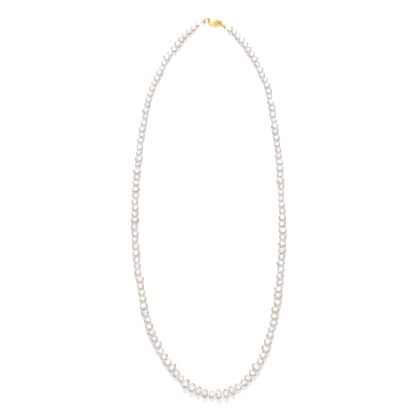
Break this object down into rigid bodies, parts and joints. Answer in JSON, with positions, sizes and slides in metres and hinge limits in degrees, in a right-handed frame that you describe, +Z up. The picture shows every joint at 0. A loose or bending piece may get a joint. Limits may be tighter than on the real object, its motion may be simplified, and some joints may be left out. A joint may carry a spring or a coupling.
{
  "type": "pearl necklace",
  "caption": "Strand of small irregular white pearls knotted on silk in a long closed loop, with a gold lobster clasp between two jump rings.",
  "frame": {"origin": "under the middle of the loop, on the plane that the necklace lies on", "axes": "+Y from the front of the necklace to its clasp, +Z up from the surface it lies on, +X to the side of the clasp where its tail eye is"},
  "size_m": [0.1092, 0.2663, 0.0063],
  "materials": {
    "pearl": "gloss",
    "silk": "matte",
    "gold": "polished",
    "gold_gimp": "satin",
    "spring_steel": "satin"
  },
  "bodies": {
    "run_01": {"pearl_run_01": "pearl"},
    "run_02": {"pearl_run_02": "pearl"},
    "run_03": {"pearl_run_03": "pearl"},
    "run_04": {"pearl_run_04": "pearl"},
    "run_05": {"pearl_run_05": "pearl"},
    "run_06": {"pearl_run_06": "pearl"},
    "run_07": {"pearl_run_07": "pearl"},
    "run_08": {"pearl_run_08": "pearl"},
    "run_09": {"pearl_run_09": "pearl"},
    "run_10": {"pearl_run_10": "pearl"},
    "run_11": {"pearl_run_11": "pearl"},
    "run_12": {"pearl_run_12": "pearl"},
    "run_13": {"pearl_run_13": "pearl"},
    "run_14": {"pearl_run_14": "pearl"},
    "run_15": {"pearl_run_15": "pearl"},
    "run_16": {"pearl_run_16": "pearl"},
    "run_17": {"pearl_run_17": "pearl"},
    "run_18": {"pearl_run_18": "pearl"},
    "run_19": {"pearl_run_19": "pearl"},
    "run_20": {"pearl_run_20": "pearl"},
    "run_21": {"pearl_run_21": "pearl"},
    "run_22": {"pearl_run_22": "pearl"},
    "run_23": {"pearl_run_23": "pearl"},
    "run_24": {"pearl_run_24": "pearl"},
    "run_25": {"pearl_run_25": "pearl"},
    "run_26": {"pearl_run_26": "pearl"},
    "run_27": {"pearl_run_27": "pearl"},
    "run_28": {"pearl_run_28": "pearl"},
    "run_29": {"pearl_run_29": "pearl"},
    "run_30": {"pearl_run_30": "pearl"},
    "run_31": {"pearl_run_31": "pearl"},
    "run_32": {"pearl_run_32": "pearl"},
    "run_33": {"pearl_run_33": "pearl"},
    "left_end": {"left_end_knot": "silk", "left_wire_guard": "gold_gimp"},
    "left_ring": {"left_jump_ring": "gold"},
    "claw": {"claw_body": "gold", "lever_pin": "gold", "lever_spring": "spring_steel"},
    "lever": {"trigger_lever": "gold"},
    "right_ring": {"right_jump_ring": "gold"},
    "right_end": {"right_end_knot": "silk", "right_wire_guard": "gold_gimp"}
  },
  "joints": [
    {"name": "knot_17_bend", "type": "hinge", "parent": "run_17", "child": "run_18", "pos_m": [0.00967, -0.13028, 0.0023], "axis": [0, 0, 1], "range_deg": [-15, 10]},
    {"name": "knot_16_bend", "type": "hinge", "parent": "run_17", "child": "run_16", "pos_m": [-0.0091, -0.12724, 0.0023], "axis": [0, 0, 1], "range_deg": [-8.16, 12.24]},
    {"name": "knot_15_bend", "type": "hinge", "parent": "run_16", "child": "run_15", "pos_m": [-0.02412, -0.11434, 0.0023], "axis": [0, 0, 1], "range_deg": [-7.56, 11.34]},
    {"name": "knot_14_bend", "type": "hinge", "parent": "run_15", "child": "run_14", "pos_m": [-0.0345, -0.09821, 0.0023], "axis": [0, 0, 1], "range_deg": [-5.21, 7.82]},
    {"name": "knot_13_bend", "type": "hinge", "parent": "run_14", "child": "run_13", "pos_m": [-0.04194, -0.08073, 0.0023], "axis": [0, 0, 1], "range_deg": [-1.92, 2.87]},
    {"name": "knot_12_bend", "type": "hinge", "parent": "run_13", "child": "run_12", "pos_m": [-0.04643, -0.06172, 0.0023], "axis": [0, 0, 1], "range_deg": [-2.9, 1.94]},
    {"name": "knot_11_bend", "type": "hinge", "parent": "run_12", "child": "run_11", "pos_m": [-0.04937, -0.0432, 0.0023], "axis": [0, 0, 1], "range_deg": [-7.02, 4.68]},
    {"name": "knot_10_bend", "type": "hinge", "parent": "run_11", "child": "run_10", "pos_m": [-0.0512, -0.02471, 0.0023], "axis": [0, 0, 1], "range_deg": [-10.7, 7.14]},
    {"name": "knot_09_bend", "type": "hinge", "parent": "run_10", "child": "run_09", "pos_m": [-0.05162, -0.00664, 0.0023], "axis": [0, 0, 1], "range_deg": [-13.16, 8.77]},
    {"name": "knot_08_bend", "type": "hinge", "parent": "run_09", "child": "run_08", "pos_m": [-0.05095, 0.01059, 0.0023], "axis": [0, 0, 1], "range_deg": [-13.74, 9.16]},
    {"name": "knot_07_bend", "type": "hinge", "parent": "run_08", "child": "run_07", "pos_m": [-0.04963, 0.0278, 0.0023], "axis": [0, 0, 1], "range_deg": [-11.55, 7.7]},
    {"name": "knot_06_bend", "type": "hinge", "parent": "run_07", "child": "run_06", "pos_m": [-0.04776, 0.04467, 0.0023], "axis": [0, 0, 1], "range_deg": [-6.92, 4.61]},
    {"name": "knot_05_bend", "type": "hinge", "parent": "run_06", "child": "run_05", "pos_m": [-0.04506, 0.06129, 0.0023], "axis": [0, 0, 1], "range_deg": [-2.9, 1.94]},
    {"name": "knot_04_bend", "type": "hinge", "parent": "run_05", "child": "run_04", "pos_m": [-0.04132, 0.07737, 0.0023], "axis": [0, 0, 1], "range_deg": [-1.94, 2.9]},
    {"name": "knot_03_bend", "type": "hinge", "parent": "run_04", "child": "run_03", "pos_m": [-0.03521, 0.0923, 0.0023], "axis": [0, 0, 1], "range_deg": [-3.16, 4.73]},
    {"name": "knot_02_bend", "type": "hinge", "parent": "run_03", "child": "run_02", "pos_m": [-0.02806, 0.10617, 0.0023], "axis": [0, 0, 1], "range_deg": [-4.82, 7.23]},
    {"name": "knot_01_bend", "type": "hinge", "parent": "run_02", "child": "run_01", "pos_m": [-0.01788, 0.1184, 0.0023], "axis": [0, 0, 1], "range_deg": [-6.21, 9.31]},
    {"name": "left_end_bend", "type": "hinge", "parent": "run_01", "child": "left_end", "pos_m": [-0.00615, 0.12922, 0.0021], "axis": [0, 0, 1], "range_deg": [-4.87, 7.3]},
    {"name": "knot_18_bend", "type": "hinge", "parent": "run_18", "child": "run_19", "pos_m": [0.02629, -0.12081, 0.0023], "axis": [0, 0, 1], "range_deg": [-11.59, 7.73]},
    {"name": "knot_19_bend", "type": "hinge", "parent": "run_19", "child": "run_20", "pos_m": [0.03709, -0.10536, 0.0023], "axis": [0, 0, 1], "range_deg": [-5.11, 3.41]},
    {"name": "knot_20_bend", "type": "hinge", "parent": "run_20", "child": "run_21", "pos_m": [0.04356, -0.08711, 0.0023], "axis": [0, 0, 1], "range_deg": [-2.9, 1.94]},
    {"name": "knot_21_bend", "type": "hinge", "parent": "run_21", "child": "run_22", "pos_m": [0.04735, -0.06881, 0.0023], "axis": [0, 0, 1], "range_deg": [-3.48, 5.21]},
    {"name": "knot_22_bend", "type": "hinge", "parent": "run_22", "child": "run_23", "pos_m": [0.04996, -0.05025, 0.0023], "axis": [0, 0, 1], "range_deg": [-5.15, 7.72]},
    {"name": "knot_23_bend", "type": "hinge", "parent": "run_23", "child": "run_24", "pos_m": [0.05109, -0.03233, 0.0023], "axis": [0, 0, 1], "range_deg": [-6.36, 9.54]},
    {"name": "knot_24_bend", "type": "hinge", "parent": "run_24", "child": "run_25", "pos_m": [0.05154, -0.01358, 0.0023], "axis": [0, 0, 1], "range_deg": [-7.24, 10.86]},
    {"name": "knot_25_bend", "type": "hinge", "parent": "run_25", "child": "run_26", "pos_m": [0.05109, 0.00399, 0.0023], "axis": [0, 0, 1], "range_deg": [-7.37, 11.06]},
    {"name": "knot_26_bend", "type": "hinge", "parent": "run_26", "child": "run_27", "pos_m": [0.05014, 0.02114, 0.0023], "axis": [0, 0, 1], "range_deg": [-6.91, 10.37]},
    {"name": "knot_27_bend", "type": "hinge", "parent": "run_27", "child": "run_28", "pos_m": [0.04882, 0.03835, 0.0023], "axis": [0, 0, 1], "range_deg": [-5.31, 7.96]},
    {"name": "knot_28_bend", "type": "hinge", "parent": "run_28", "child": "run_29", "pos_m": [0.04673, 0.05497, 0.0023], "axis": [0, 0, 1], "range_deg": [-2.66, 3.98]},
    {"name": "knot_29_bend", "type": "hinge", "parent": "run_29", "child": "run_30", "pos_m": [0.04398, 0.07151, 0.0023], "axis": [0, 0, 1], "range_deg": [-1.94, 2.9]},
    {"name": "knot_30_bend", "type": "hinge", "parent": "run_30", "child": "run_31", "pos_m": [0.04006, 0.08748, 0.0023], "axis": [0, 0, 1], "range_deg": [-3.87, 2.58]},
    {"name": "knot_31_bend", "type": "hinge", "parent": "run_31", "child": "run_32", "pos_m": [0.03332, 0.10181, 0.0023], "axis": [0, 0, 1], "range_deg": [-6.71, 4.48]},
    {"name": "knot_32_bend", "type": "hinge", "parent": "run_32", "child": "run_33", "pos_m": [0.0244, 0.11525, 0.0023], "axis": [0, 0, 1], "range_deg": [-9.09, 6.06]},
    {"name": "right_end_bend", "type": "hinge", "parent": "run_33", "child": "right_end", "pos_m": [0.0134, 0.12602, 0.0021], "axis": [0, 0, 1], "range_deg": [-10.11, 6.74]},
    {"name": "left_ring_roll", "type": "hinge", "parent": "left_end", "child": "left_ring", "pos_m": [-0.00226, 0.13016, 0.0021], "axis": [0.9607, 0.2697, -0.0663], "range_deg": [-14, 4]},
    {"name": "right_ring_roll", "type": "hinge", "parent": "right_end", "child": "right_ring", "pos_m": [0.00874, 0.12875, 0.00176], "axis": [0.7123, -0.6864, 0.1468], "range_deg": [-6, 14]},
    {"name": "clasp_roll", "type": "hinge", "parent": "right_end", "child": "claw", "pos_m": [-0.00023, 0.13073, 0.00196], "axis": [0.9762, -0.2157, -0.022], "range_deg": [-6, 10]},
    {"name": "trigger", "type": "hinge", "parent": "claw", "child": "lever", "pos_m": [0.00563, 0.13019, 0.0021], "axis": [-0.0535, -0.3378, 0.9397], "range_deg": [0, 30], "stiffness_Nm_per_rad": 0.004, "springref_deg": -20.05}
  ],
  "couplings": [
    {"joint": "knot_16_bend", "follows": "knot_17_bend", "ratio": -0.81543},
    {"joint": "knot_15_bend", "follows": "knot_17_bend", "ratio": -0.75547},
    {"joint": "knot_14_bend", "follows": "knot_17_bend", "ratio": -0.52093},
    {"joint": "knot_13_bend", "follows": "knot_17_bend", "ratio": -0.19104},
    {"joint": "knot_12_bend", "follows": "knot_17_bend", "ratio": 0.19322},
    {"joint": "knot_11_bend", "follows": "knot_17_bend", "ratio": 0.46774},
    {"joint": "knot_10_bend", "follows": "knot_17_bend", "ratio": 0.71306},
    {"joint": "knot_09_bend", "follows": "knot_17_bend", "ratio": 0.8767},
    {"joint": "knot_08_bend", "follows": "knot_17_bend", "ratio": 0.9154},
    {"joint": "knot_07_bend", "follows": "knot_17_bend", "ratio": 0.7694},
    {"joint": "knot_06_bend", "follows": "knot_17_bend", "ratio": 0.46099},
    {"joint": "knot_05_bend", "follows": "knot_17_bend", "ratio": 0.19319},
    {"joint": "knot_04_bend", "follows": "knot_17_bend", "ratio": -0.19322},
    {"joint": "knot_03_bend", "follows": "knot_17_bend", "ratio": -0.31532},
    {"joint": "knot_02_bend", "follows": "knot_17_bend", "ratio": -0.48182},
    {"joint": "knot_01_bend", "follows": "knot_17_bend", "ratio": -0.62003},
    {"joint": "left_end_bend", "follows": "knot_17_bend", "ratio": -0.48626},
    {"joint": "knot_18_bend", "follows": "knot_17_bend", "ratio": 0.77236},
    {"joint": "knot_19_bend", "follows": "knot_17_bend", "ratio": 0.34045},
    {"joint": "knot_20_bend", "follows": "knot_17_bend", "ratio": 0.19306},
    {"joint": "knot_21_bend", "follows": "knot_17_bend", "ratio": -0.34727},
    {"joint": "knot_22_bend", "follows": "knot_17_bend", "ratio": -0.51443},
    {"joint": "knot_23_bend", "follows": "knot_17_bend", "ratio": -0.6355},
    {"joint": "knot_24_bend", "follows": "knot_17_bend", "ratio": -0.72384},
    {"joint": "knot_25_bend", "follows": "knot_17_bend", "ratio": -0.73694},
    {"joint": "knot_26_bend", "follows": "knot_17_bend", "ratio": -0.69075},
    {"joint": "knot_27_bend", "follows": "knot_17_bend", "ratio": -0.53011},
    {"joint": "knot_28_bend", "follows": "knot_17_bend", "ratio": -0.2653},
    {"joint": "knot_29_bend", "follows": "knot_17_bend", "ratio": -0.19309},
    {"joint": "knot_30_bend", "follows": "knot_17_bend", "ratio": 0.25768},
    {"joint": "knot_31_bend", "follows": "knot_17_bend", "ratio": 0.44714},
    {"joint": "knot_32_bend", "follows": "knot_17_bend", "ratio": 0.60558},
    {"joint": "right_end_bend", "follows": "knot_17_bend", "ratio": 0.67361}
  ]
}
